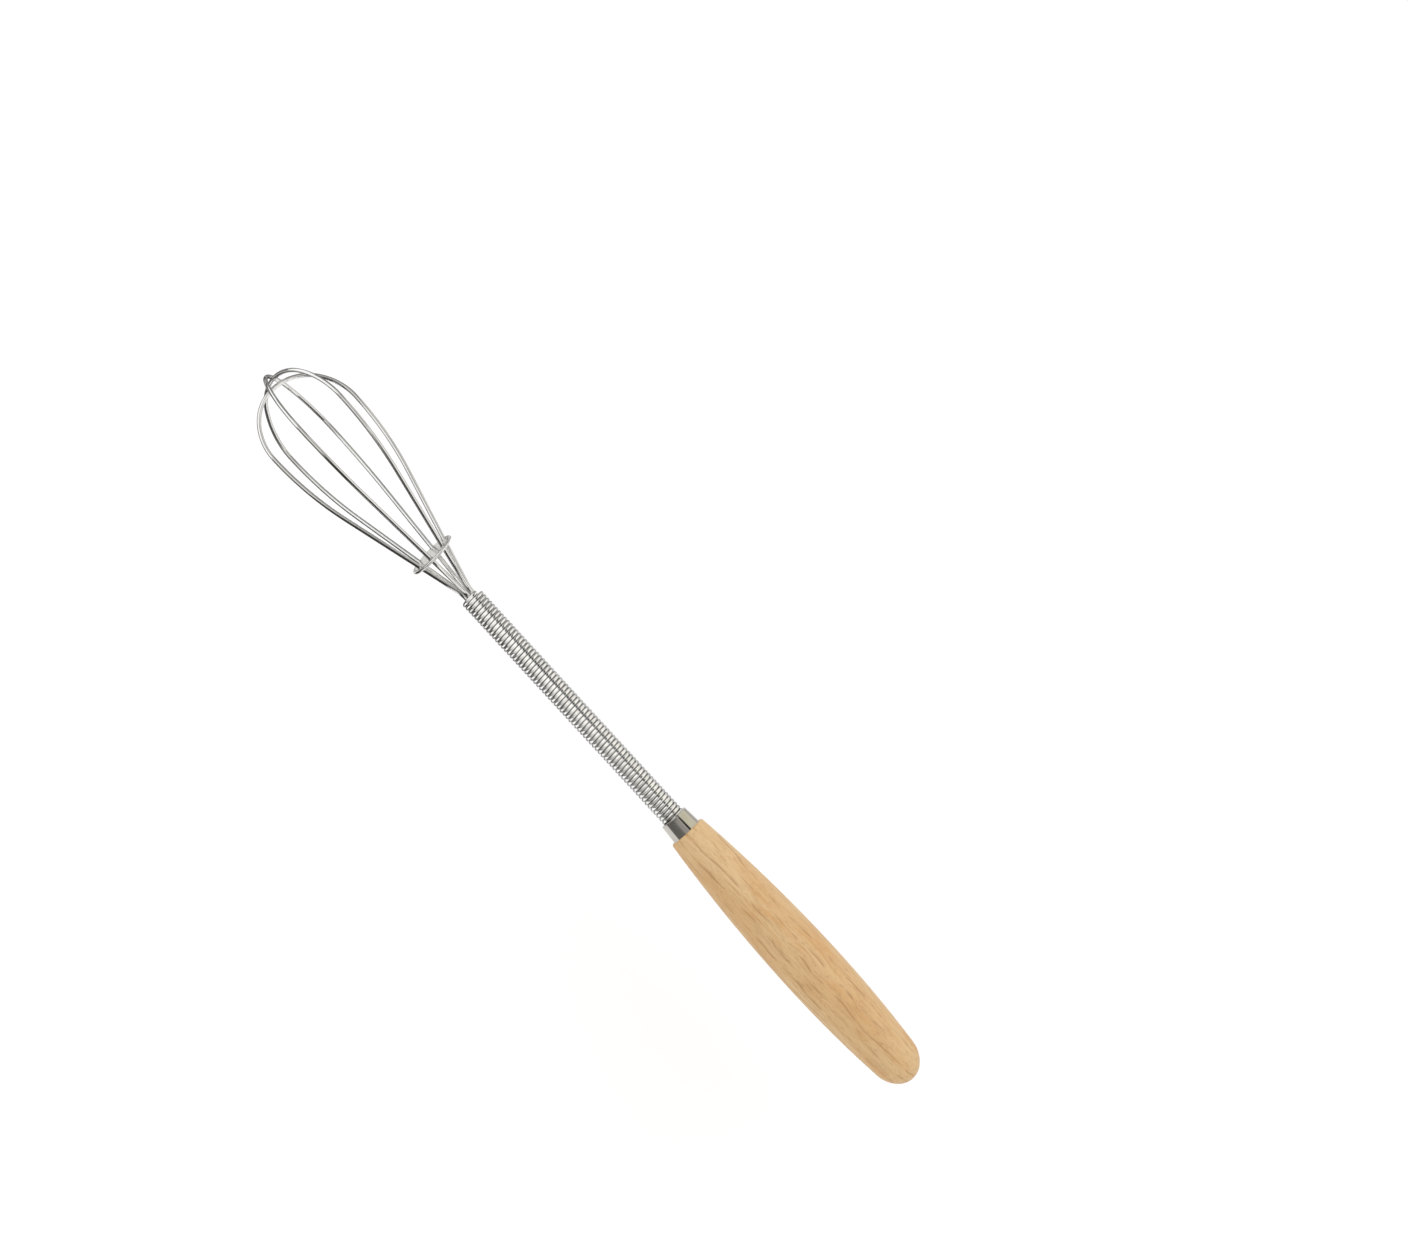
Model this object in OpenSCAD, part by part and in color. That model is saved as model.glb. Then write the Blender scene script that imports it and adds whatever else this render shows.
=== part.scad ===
// Small hand whisk: turned wooden handle, steel ferrule, close-wound neck coil and three wire loops
// Millimetres. The whisk lies along X with its head towards +X, and the middle of its length is at the origin.

/* [Handle] */
// Length of the wooden handle, from its butt to its nose
handle_len = 72; // [64:1:84]
// Diameter of the handle at its widest
belly_d = 13.2; // [12:0.2:15]
// Distance from the butt to the widest place
belly_at = 31.6; // [26:0.2:38]
// Radius of the long curve from the widest place to the nose
front_curve_r = 355; // [320:5:420]
// Radius of the long curve from the widest place to the butt
rear_curve_r = 270; // [240:5:320]
// Radius of the cap at the very end of the butt
butt_cap_r = 4.6; // [4:0.1:5]
// Radius of the curve between the cap and the long rear curve
butt_shoulder_r = 7; // [6:0.1:9]
// Rounding of the nose edge
nose_edge_r = 0.5; // [0.2:0.1:0.8]
// Length of the spigot that carries the ferrule
spigot_len = 2.3; // [1.6:0.1:2.6]
// Diameter of the bore that takes the wire legs
bore_d = 3.4; // [3.3:0.05:3.8]
// Depth of the bore, from the handle's nose
bore_depth = 30; // [28:1:40]
// Point angle of the drill that made the bore
drill_point = 118; // [90:2:140]

/* [Ferrule] */
// Length of the ferrule along the whisk
ferrule_len = 4.3; // [3.8:0.1:5.4]
// Outer diameter where it meets the wood
ferrule_base_d = 7.2; // [7:0.1:7.8]
// Outer diameter where the coil leaves it
ferrule_nose_d = 6.6; // [6.5:0.1:6.9]
// Wall round the spigot
ferrule_wall = 0.4; // [0.3:0.05:0.45]
// Thickness of the end wall that the coil passes through
ferrule_end_wall = 0.8; // [0.6:0.1:1]
// Rounding of the ferrule's outer edge at the coil
ferrule_lip_r = 0.3; // [0.1:0.05:0.35]
// Gap between the ferrule and the spigot
ferrule_gap = 0.05; // [0.02:0.01:0.08]

/* [Neck coil] */
// Length of the coil that shows between the ferrule and the head
neck_len = 64.7; // [56:0.1:76]
// Outer diameter of the coil
coil_od = 5.3; // [5.2:0.05:5.4]
// Thickness of the coil's wire, drawn light to keep the turns apart
coil_wire_d = 0.58; // [0.44:0.02:0.58]
// Distance from one turn to the next
coil_pitch = 0.93; // [0.93:0.01:1.2]
// Gap between the coil and the hole in the ferrule's end wall
coil_gap = 0.1; // [0.05:0.01:0.15]
// Gap between the coil's seated end and the spigot
coil_seat_gap = 0.1; // [0.05:0.05:0.3]

/* [Wire loops] */
// Thickness of the loop wire
wire_d = 0.95; // [0.8:0.05:1]
// Gap between neighbouring legs inside the coil
leg_gap = 0.1; // [0.05:0.01:0.1]
// Length of each leg inside the handle
tang_len = 28; // [20:1:28]
// Angle at which the tines spread from the neck
spread_angle = 15.5; // [13:0.5:18]
// Bend radius where a tine leaves the neck
neck_bend_r = 9.7; // [6:0.1:14]
// Radius of the long bend towards the widest place of the head
belly_bend_r = 74; // [60:1:84]
// Radius of the head, measured to the middle of the wire
head_r = 11.55; // [10.5:0.05:13]
// Length of the innermost loop from the widest place to its crown
crown_len = 12.25; // [11:0.05:13.5]
// How much further out the middle loop's crown is than the inner one's
middle_step = 1.55; // [1.1:0.05:2]
// How much further out the outer loop's crown is than the middle one's
outer_step = 1.05; // [1.05:0.05:1.5]
// Angle at which the shoulder bend turns into the crown bend
shoulder_angle = 42; // [36:1:48]

/* [Retaining disc] */
// Diameter of the disc that keeps the tines apart
disc_d = 11.4; // [11:0.1:13]
// Thickness of the disc, with a fully rounded rim
disc_t = 0.7; // [0.5:0.05:0.9]
// Distance from the mouth of the coil to the middle of the disc
disc_at = 12; // [11:0.1:13]
// Angle at which the disc sits askew on the tines
disc_lean = 17; // [0:1:18]
// Gap round each tine in its hole
disc_hole_gap = 0.15; // [0.1:0.01:0.25]

/* [Hidden] */

// How fine the round shapes are
turned_fn = 96;
outline_fn = 720;
hole_fn = 48;

// One overrun for every cut
cut = 1;

// The six legs stand in a ring, each touching the next but for the gap
leg_r = wire_d + leg_gap;

// Straight run of a tine between its two long bends
flare_len = (head_r - leg_r - (neck_bend_r + belly_bend_r) * (1 - cos(spread_angle))) / sin(spread_angle);

// Places along X, from the butt to the tip
mouth_at = handle_len + ferrule_len + neck_len;
belly_bend_end = (neck_bend_r + belly_bend_r) * sin(spread_angle) + flare_len * cos(spread_angle);
head_len = belly_bend_end + crown_len + middle_step + outer_step;
overall_len = mouth_at + head_len + wire_d / 2;
butt_x = -overall_len / 2;
nose_x = butt_x + handle_len;
spigot_x = nose_x + spigot_len;
mouth_x = butt_x + mouth_at;

// The place at a distance from one point towards another
function along(from, to, distance) = from + (to - from) / norm(to - from) * distance;
// The upper crossing of two circles whose centres lie apart along the outline
function crossing(c1, r1, c2, r2) =
  let (d = norm(c2 - c1), a = (d * d + r1 * r1 - r2 * r2) / (2 * d), h = sqrt(r1 * r1 - a * a), u = (c2 - c1) / d)
  c1 + u * a + [-u.y, u.x] * h;

// The handle's outline as tangent arcs, each [centre, radius], with [radius from the axis, distance from the butt]
front_arc = [[belly_d / 2 - front_curve_r, belly_at], front_curve_r];
rear_arc = [[belly_d / 2 - rear_curve_r, belly_at], rear_curve_r];
cap_arc = [[0, butt_cap_r], butt_cap_r];
shoulder_arc = [crossing(rear_arc[0], rear_curve_r - butt_shoulder_r, cap_arc[0], butt_shoulder_r - butt_cap_r),
  butt_shoulder_r];
cap_end = along(shoulder_arc[0], cap_arc[0], butt_shoulder_r).y;
shoulder_end = along(rear_arc[0], shoulder_arc[0], rear_curve_r).y;
nose_edge_at = handle_len - nose_edge_r;
nose_r = front_arc[0].x + sqrt(pow(front_curve_r, 2) - pow(nose_edge_at - belly_at, 2));

// The ferrule's inside
ferrule_bore_r = ferrule_nose_d / 2 - ferrule_wall;
spigot_r = ferrule_bore_r - ferrule_gap;

// Angles of the three loops about X, measured from Y
inner_turn = 0;
middle_turn = 120;
outer_turn = 60;

// The wire's mesh: sides round the wire, and the steps along each bend
wire_sides = 12;
neck_steps = 5;
belly_steps = 8;
shoulder_steps = 9;
crown_steps = 14;

// The coil's mesh and its two ends
coil_sides = 6;
coil_rings = 8;
coil_r = (coil_od - coil_wire_d) / 2;
coil_start_turn = -60;
coil_end_turn = 113;
// The seated end leaves the spigot square, then bends into the turns while it rises by a share of its wire
seat_bend_turn = 30;
seat_bend_steps = 4;
seat_rise_share = 1.5;
seat_rise = seat_rise_share * coil_wire_d;
coil_x = spigot_x + coil_seat_gap + coil_wire_d + seat_rise;
coil_end_x = mouth_x - coil_wire_d / 2;
coil_span_turns = floor((coil_end_x - coil_x) / coil_pitch - (coil_end_turn - coil_start_turn) / 360)
  + (coil_end_turn - coil_start_turn) / 360;
coil_true_pitch = (coil_end_x - coil_x) / coil_span_turns;

// Angle about X that faces the side on which the disc leans back
disc_turn = -30;

// A point on a circle about X
function around(x, r, turn) = [x, r * cos(turn), r * sin(turn)];

// Direction of the path at one of its points
function heading(path, i) =
  let (step = path[min(i + 1, len(path) - 1)] - path[max(i - 1, 0)]) step / norm(step);

// Rings of points round a path, one per path point, the first side of each lying away from X
function tube_points(path, d, sides) = [
  for (i = [0 : len(path) - 1])
    let (t = heading(path, i), s = path[i], out = [0, s.y, s.z] / norm([0, s.y, s.z]),
      b = cross(t, out) / norm(cross(t, out)), n = cross(b, t))
    for (k = [0 : sides - 1]) s + (n * cos(360 * k / sides) + b * sin(360 * k / sides)) * d / 2
];

// Rings of points round a path that lies in the XY plane
function flat_tube_points(path, d, sides) = [
  for (i = [0 : len(path) - 1])
    let (t = heading(path, i), n = [-t.y, t.x, 0])
    for (k = [0 : sides - 1]) path[i] + (n * cos(360 * k / sides) + [0, 0, 1] * sin(360 * k / sides)) * d / 2
];

// Triangles that join the rings and close both ends
function tube_faces(rings, sides) = concat(
  [for (i = [0 : rings - 2]) for (k = [0 : sides - 1])
    [i * sides + k, (i + 1) * sides + k, i * sides + (k + 1) % sides]],
  [for (i = [0 : rings - 2]) for (k = [0 : sides - 1])
    [i * sides + (k + 1) % sides, (i + 1) * sides + k, (i + 1) * sides + (k + 1) % sides]],
  [for (k = [1 : sides - 2]) [0, k, k + 1]],
  [for (k = [1 : sides - 2]) [(rings - 1) * sides, (rings - 1) * sides + k + 1, (rings - 1) * sides + k]]);

// Points of an arc about a centre in the XY plane, with or without its first point
function arc_points(centre, r, from, to, steps, first) =
  [for (i = [first : steps]) let (a = from + (to - from) * i / steps) centre + r * [cos(a), sin(a), 0]];

// Half of a loop in the XY plane, from the end of its leg to its crown on the X axis
function half_loop(crown) =
  let (
    turned = sin(shoulder_angle) + cos(shoulder_angle) - 1,
    shoulder_r = (crown * cos(shoulder_angle) - head_r * (1 - sin(shoulder_angle))) / turned,
    crown_r = (head_r * sin(shoulder_angle) - crown * (1 - cos(shoulder_angle))) / turned,
    belly_x = mouth_x + belly_bend_end
  )
  concat(
    [[nose_x - tang_len, leg_r, 0], [mouth_x, leg_r, 0]],
    arc_points([mouth_x, leg_r + neck_bend_r, 0], neck_bend_r, -90, spread_angle - 90, neck_steps, 1),
    arc_points([belly_x, head_r - belly_bend_r, 0], belly_bend_r, 90 + spread_angle, 90, belly_steps, 0),
    arc_points([belly_x, head_r - shoulder_r, 0], shoulder_r, 90, 90 - shoulder_angle, shoulder_steps, 1),
    arc_points([belly_x + crown - crown_r, 0, 0], crown_r, 90 - shoulder_angle, 0, crown_steps / 2, 1));

// A whole loop: one half, and the same half mirrored back
function loop_path(crown) =
  let (half = half_loop(crown))
  concat(half, [for (i = [len(half) - 2 : -1 : 0]) [half[i].x, -half[i].y, 0]]);

// The coil's path: square off the spigot, through a short bend, round its turns and straight off at the end
coil_path = let (
    turns = round(coil_span_turns * coil_rings),
    last = around(coil_end_x, coil_r, coil_end_turn),
    out = [0, -sin(coil_end_turn), cos(coil_end_turn)]
  )
  concat(
    [around(coil_x - seat_rise - coil_wire_d, coil_r, coil_start_turn - seat_bend_turn)],
    [for (i = [0 : seat_bend_steps - 1]) let (a = 90 * i / seat_bend_steps)
      around(coil_x - seat_rise * (1 - sin(a)), coil_r, coil_start_turn - seat_bend_turn * cos(a))],
    [for (i = [0 : turns])
      around(coil_x + (coil_end_x - coil_x) * i / turns, coil_r, coil_start_turn + 360 * coil_span_turns * i / turns)],
    [last + out * coil_wire_d]);
coil_points = tube_points(coil_path, coil_wire_d, coil_sides);

// Least distance between the points of the coil and those about one turn further on
coil_least_gap = min([
  for (i = [0 : len(coil_path) - coil_rings + 1])
    for (j = [i + coil_rings - 2 : min(i + coil_rings + 2, len(coil_path) - 1)])
      for (a = [0 : coil_sides - 1]) for (b = [0 : coil_sides - 1])
        norm(coil_points[i * coil_sides + a] - coil_points[j * coil_sides + b])
]);
echo(coil_least_gap_mm = coil_least_gap, coil_turns = coil_span_turns, coil_triangles = 2 * len(coil_points));

// One band of the handle's outline: an arc's disc between two places along the handle
module outline_band(arc, from, to) {
  intersection() {
    translate(arc[0]) circle(r = arc[1], $fn = outline_fn);
    translate([0, from]) square([belly_d, to - from]);
  }
}

// Turned wooden handle with its spigot and the drilled bore
module handle() {
  color("burlywood")
    difference() {
      translate([butt_x, 0, 0]) rotate([90, 0, 90])
        rotate_extrude($fn = turned_fn) {
          outline_band(cap_arc, 0, cap_end);
          outline_band(shoulder_arc, cap_end, shoulder_end);
          outline_band(rear_arc, shoulder_end, belly_at);
          outline_band(front_arc, belly_at, nose_edge_at);
          outline_band([[nose_r - nose_edge_r, nose_edge_at], nose_edge_r], nose_edge_at, handle_len);
          translate([0, nose_edge_at]) square([nose_r - nose_edge_r, nose_edge_r]);
          translate([0, nose_edge_at]) square([spigot_r, nose_edge_r + spigot_len]);
        }
      translate([nose_x - bore_depth, 0, 0]) rotate([0, 90, 0])
        cylinder(h = bore_depth + spigot_len + cut, d = bore_d, $fn = hole_fn);
      translate([nose_x - bore_depth, 0, 0]) rotate([0, -90, 0])
        cylinder(h = bore_d / 2 / tan(drill_point / 2), d1 = bore_d, d2 = 0, $fn = hole_fn);
    }
}

// Thin steel cup over the spigot, with a round hole for the coil
module ferrule() {
  hole_r = coil_od / 2 + coil_gap;
  lip = [ferrule_nose_d / 2 - ferrule_lip_r, ferrule_len - ferrule_lip_r];
  color("gainsboro")
    translate([nose_x, 0, 0]) rotate([90, 0, 90])
      rotate_extrude($fn = turned_fn) {
        polygon([
          [ferrule_bore_r, 0],
          [ferrule_base_d / 2, 0],
          [ferrule_nose_d / 2, lip.y],
          lip,
          [lip.x, ferrule_len],
          [hole_r, ferrule_len],
          [hole_r, ferrule_len - ferrule_end_wall],
          [ferrule_bore_r, ferrule_len - ferrule_end_wall]
        ]);
        intersection() {
          translate(lip) circle(r = ferrule_lip_r, $fn = hole_fn);
          translate(lip) square(ferrule_lip_r);
        }
      }
}

// The coil over the neck, as one unbroken tube
module neck_coil() {
  color("silver")
    polyhedron(coil_points, tube_faces(len(coil_path), coil_sides));
}

// One wire loop in its own plane
module wire_loop(crown, turn) {
  path = loop_path(crown);
  rotate([turn, 0, 0])
    polyhedron(flat_tube_points(path, wire_d, wire_sides), tube_faces(len(path), wire_sides));
}

module inner_loop() {
  color("lightgray") wire_loop(crown_len, inner_turn);
}

module middle_loop() {
  color("silver") wire_loop(crown_len + middle_step, middle_turn);
}

module outer_loop() {
  color("whitesmoke") wire_loop(crown_len + middle_step + outer_step, outer_turn);
}

// A hole through the disc along one tine
module tine_hole(turn) {
  start_x = mouth_x + neck_bend_r * sin(spread_angle);
  start_r = leg_r + neck_bend_r * (1 - cos(spread_angle));
  rotate([turn, 0, 0])
    translate([start_x, start_r, 0])
      rotate([0, 0, spread_angle])
        rotate([0, 90, 0])
          cylinder(h = flare_len, d = wire_d + 2 * disc_hole_gap, $fn = hole_fn);
}

// Round disc with a rolled rim and one hole for each tine
module retaining_disc() {
  rim_r = (disc_d - disc_t) / 2;
  color("gray")
    difference() {
      translate([mouth_x + disc_at, 0, 0])
        rotate([disc_turn, 0, 0]) rotate([0, -disc_lean, 0]) rotate([0, 90, 0])
          rotate_extrude($fn = turned_fn) {
            translate([0, -disc_t / 2]) square([rim_r, disc_t]);
            intersection() {
              translate([rim_r, 0]) circle(d = disc_t, $fn = hole_fn);
              translate([rim_r, -disc_t / 2]) square(disc_t);
            }
          }
      for (turn = [inner_turn, middle_turn, outer_turn]) {
        tine_hole(turn);
        tine_hole(turn + 180);
      }
    }
}

handle();
ferrule();
neck_coil();
inner_loop();
middle_loop();
outer_loop();
retaining_disc();
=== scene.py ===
"""Finishes a small hand whisk: beech handle, steel ferrule, wound neck, wire loops and retaining disc."""

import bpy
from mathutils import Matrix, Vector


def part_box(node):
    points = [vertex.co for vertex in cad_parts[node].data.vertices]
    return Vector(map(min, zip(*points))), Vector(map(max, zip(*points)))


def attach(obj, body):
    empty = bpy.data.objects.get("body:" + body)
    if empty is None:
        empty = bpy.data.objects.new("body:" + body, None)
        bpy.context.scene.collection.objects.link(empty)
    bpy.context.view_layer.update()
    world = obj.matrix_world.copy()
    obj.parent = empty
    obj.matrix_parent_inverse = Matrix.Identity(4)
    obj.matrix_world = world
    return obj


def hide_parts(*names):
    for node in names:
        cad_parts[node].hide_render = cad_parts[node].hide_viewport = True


bl_info = {
    "name": "Hand whisk finisher",
    "version": (1, 0, 0),
    "blender": (4, 5, 0),
    "location": "3D View > Sidebar > Whisk",
    "description": "Winds the neck coil, bends the wire loops and finishes the beech and the steel",
    "category": "Add Mesh",
}

import math

import bpy
from bpy.props import FloatProperty, FloatVectorProperty, IntProperty, PointerProperty
from bpy.types import Operator, Panel, PropertyGroup
from mathutils import Matrix, Vector

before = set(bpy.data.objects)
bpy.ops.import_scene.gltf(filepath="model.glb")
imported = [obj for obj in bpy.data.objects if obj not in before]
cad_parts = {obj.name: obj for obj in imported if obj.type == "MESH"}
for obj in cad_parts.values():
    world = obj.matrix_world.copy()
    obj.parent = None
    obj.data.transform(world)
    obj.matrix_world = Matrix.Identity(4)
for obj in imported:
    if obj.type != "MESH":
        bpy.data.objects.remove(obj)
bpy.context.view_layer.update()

MM = 0.001
BODY = "root"
PICTURE_SIZE = (1408, 1236)

# Places that the packed solids give
INNER_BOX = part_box("inner_loop")
COIL_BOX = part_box("neck_coil")
FERRULE_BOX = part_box("ferrule")
WIRE_THICKNESS = 2 * INNER_BOX[1].z
COIL_OUTSIDE = -2 * COIL_BOX[0].z
HEAD_RADIUS = INNER_BOX[1].y - WIRE_THICKNESS / 2
DISC_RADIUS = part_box("retaining_disc")[1].y

# The coil starts inside the ferrule, just past the handle's spigot
COIL_START = FERRULE_BOX[0].x + 3 * MM

# Patterns in steel, in repeats per metre along the whisk or the wire and in the two directions across it
DRAWN_LINES = (20, 9000, 9000)
TURNED_LINES = (9000, 150, 150)
EVEN_GRAIN = (900, 900, 900)
DULL_PATCHES = (120, 900, 900)

# Straight steps in each bend of a loop
NECK_STEPS = 8
BELLY_STEPS = 16
SHOULDER_STEPS = 16
CROWN_STEPS = 20

# Where two faces of a mesh meet at more than this angle, their edge is sharp
SHARP_ANGLE = math.radians(50)

# The floor reaches this far to each side, and a curved card has this many strips
FLOOR_REACH = 3
CARD_STRIPS = 48

# Radius of the cards that hang far overhead, height of those that lie just above the floor, and their tints
OVERHEAD = 0.8
LOW = -0.058
NEUTRAL = (1, 0.98, 0.94)
YELLOWISH = (1, 0.955, 0.78)

# Curved cards: name, radius about the whisk's axis, reach along it, tint, and stops across the camera's view
# (degrees, brightness). The close ones are each reflected by one piece alone.
CURVED_CARDS = (
    ("card_rear", OVERHEAD, (-0.95, 0.07), NEUTRAL,
     ((-75, 0.92), (-40, 0.85), (-25, 0.74), (-13, 0.04), (74, 0.04))),
    ("card_front", OVERHEAD, (0.07, 0.28), NEUTRAL,
     ((-75, 0.34), (-34, 0.34), (-20, 0.56), (-10, 0.84), (18, 0.84), (34, 0.34), (50, 0.2), (74, 0.2))),
    ("card_front_left", OVERHEAD, (0.28, 0.40), NEUTRAL, ((-75, 0.5), (-20, 0.62), (0, 1))),
    ("card_far_left", OVERHEAD, (0.40, 1.20), NEUTRAL, ((-80, 0.2), (-40, 0.25), (-28, 1))),
    ("card_ferrule", 0.05, (-0.045, -0.023), NEUTRAL,
     ((-40, 0.02), (-28, 0.02), (-26, 0.62), (-20, 0.6), (-11, 0.47), (2, 0.5), (10, 0.36), (17, 0.24),
      (45, 0.2), (76, 0.2))),
    ("card_ferrule_side", 0.05, (-0.045, -0.023), YELLOWISH, ((-105, 0.95), (-40, 0.95))),
    ("card_coil", 0.03, (-0.022, 0.036), NEUTRAL,
     ((-110, 0.98), (-72, 0.86), (-52, 0.98), (-50, 0), (-26, 0), (-24, 1), (7, 1), (26, 0.78), (45, 0.6),
      (60, 0.4), (70, 0.3))),
    ("card_cage", 0.028, (0.037, 0.078), NEUTRAL, ((70, 0.06), (128, 0.06))),
)
# Level cards just above the floor: name, X from and to, Y from and to, and brightness
LEVEL_CARDS = (
    ("card_under_disc", (0.040, 0.165), (-0.072, 0.010), 0.78),
    ("card_head_right", (0.040, 0.090), (0.030, 0.300), 0.06),
    ("card_tip_right", (0.090, 0.450), (0.030, 0.300), 0.18),
    ("card_head_left", (0.060, 0.450), (-0.180, -0.072), 0.35),
    ("card_head_front", (0.165, 0.195), (-0.072, 0.030), 0.1),
    ("card_tip_front", (0.195, 0.450), (-0.072, 0.030), 0.5),
    ("card_neck_right", (-0.020, 0.038), (0.020, 0.045), 0.3),
    ("card_neck_left", (-0.300, 0.030), (-0.450, -0.100), 0.65),
)
# Upright cards on the floor: name, X from and to, Y from and to, Z of the top edge and brightness
UPRIGHT_CARDS = (
    ("card_neck_wall", (-0.100, 0.120), (-0.180, -0.180), 0.183, 0.7),
    ("card_left_wall", (0.120, 0.450), (-0.180, -0.180), 0.183, 0.26),
    ("card_right_wall", (0.040, 0.150), (0.300, 0.300), 0.015, 0.06),
    ("card_tip_wall", (0.150, 0.450), (0.300, 0.300), 0.015, 0.35),
    ("card_head_wall", (0.450, 0.450), (-0.180, 0.300), 0.020, 0.1),
)

# Each loop's node, and the angle of its plane about X from Y, in degrees
LOOPS = {"inner_loop": 0, "middle_loop": 120, "outer_loop": 60}


class BeechSettings(PropertyGroup):
    """Colours and grain of the turned handle."""

    pale: FloatVectorProperty(
        name="Pale wood", description="Colour of the pale bands between the growth lines",
        subtype="COLOR", size=3, default=(0.655, 0.45, 0.23), min=0, max=1)
    warm: FloatVectorProperty(
        name="Warm streaks", description="Colour of the orange streaks along the grain",
        subtype="COLOR", size=3, default=(0.585, 0.322, 0.122), min=0, max=1)
    dark: FloatVectorProperty(
        name="Growth lines", description="Colour of the brown lines between two years of growth",
        subtype="COLOR", size=3, default=(0.385, 0.197, 0.073), min=0, max=1)
    fleck: FloatVectorProperty(
        name="Flecks", description="Colour of the short rays and pores",
        subtype="COLOR", size=3, default=(0.30, 0.145, 0.055), min=0, max=1)
    band_width: FloatProperty(
        name="Band width", description="Distance from one growth line to the next",
        unit="LENGTH", subtype="DISTANCE", default=2.15 * MM, min=1 * MM, max=10 * MM)
    fleck_length: FloatProperty(
        name="Fleck length", description="Length of a ray fleck along the grain",
        unit="LENGTH", subtype="DISTANCE", default=2.2 * MM, min=0.5 * MM, max=6 * MM)
    wander: FloatProperty(
        name="Wander", description="How far the grain strays to either side along the handle",
        unit="LENGTH", subtype="DISTANCE", default=1.6 * MM, min=0, max=5 * MM)
    sawn_angle: FloatProperty(
        name="Sawn angle",
        description="Angle about the handle of the sheets of growth, from the whisk's Y axis",
        unit="ROTATION", subtype="ANGLE", default=math.radians(-21.5), min=-math.pi, max=math.pi)
    sheet_phase: FloatProperty(
        name="Sheet phase", description="Where in the handle the first growth line falls",
        default=0.6, min=0, max=2 * math.pi)
    roughness: FloatProperty(
        name="Roughness", description="Roughness of the oiled surface",
        subtype="FACTOR", default=0.5, min=0.1, max=1)


class SteelSettings(PropertyGroup):
    """Colours and polish of the stainless steel pieces."""

    wire: FloatVectorProperty(
        name="Wire", description="Colour of the polished wire",
        subtype="COLOR", size=3, default=(0.95, 0.95, 0.94), min=0, max=1)
    coil: FloatVectorProperty(
        name="Coil", description="Colour of the coil's wire",
        subtype="COLOR", size=3, default=(0.95, 0.945, 0.93), min=0, max=1)
    sheet: FloatVectorProperty(
        name="Sheet", description="Colour of the ferrule's drawn sheet",
        subtype="COLOR", size=3, default=(0.56, 0.54, 0.50), min=0, max=1)
    plate: FloatVectorProperty(
        name="Plate", description="Colour of the stamped disc",
        subtype="COLOR", size=3, default=(0.95, 0.95, 0.935), min=0, max=1)
    # Colour of the painted shade deep between two turns of the coil and at the foot of the disc's rim
    painted_shade: FloatVectorProperty(
        name="Grooves", description="Colour of the grime and shade deep between two turns of the coil",
        subtype="COLOR", size=3, default=(0.05, 0.047, 0.043), min=0, max=1)
    edge: FloatProperty(
        name="Edge darkening", description="How dark the wire turns where it is seen edge on",
        subtype="FACTOR", default=0.8, min=0, max=1)
    polish: FloatProperty(
        name="Roughness", description="Roughness of the polished wire",
        subtype="FACTOR", default=0.08, min=0.02, max=0.6)


class CoilSettings(PropertyGroup):
    """Sizes of the close-wound neck coil."""

    wire_thickness: FloatProperty(
        name="Wire thickness", description="Thickness of the wire that the coil is wound from",
        unit="LENGTH", subtype="DISTANCE", default=0.9 * MM, min=0.4 * MM, max=0.93 * MM)
    outside: FloatProperty(
        name="Outside diameter", description="Diameter over the turns",
        unit="LENGTH", subtype="DISTANCE", default=COIL_OUTSIDE, min=3 * MM, max=8 * MM)
    pitch: FloatProperty(
        name="Pitch", description="Distance from one turn to the next",
        unit="LENGTH", subtype="DISTANCE", default=0.9335 * MM, min=0.93 * MM, max=2 * MM)
    end_angle: FloatProperty(
        name="End angle", description="Angle about X, from Y, at which the wire is cut at the head",
        unit="ROTATION", subtype="ANGLE", default=math.radians(113), min=-math.pi, max=math.pi)
    unevenness: FloatProperty(
        name="Unevenness", description="How far a turn may lie off its place",
        unit="LENGTH", subtype="DISTANCE", default=0.012 * MM, min=0, max=0.05 * MM)
    seed: FloatProperty(
        name="Seed", description="Picks one random pattern of unevenness", default=4.0)
    # Painted shade in the coil's grooves fades out over this share of the wire's thickness above the wire's
    # middle
    groove_shade_depth: FloatProperty(
        name="Groove depth", description="Share of the wire's thickness over which the grooves are dark",
        subtype="FACTOR", default=0.22, min=0, max=1)
    points_per_turn: IntProperty(
        name="Points per turn", description="Rings of the mesh in each turn", default=40, min=8, max=96)
    sides: IntProperty(
        name="Sides", description="Sides of the wire's section", default=12, min=6, max=32)


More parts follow.
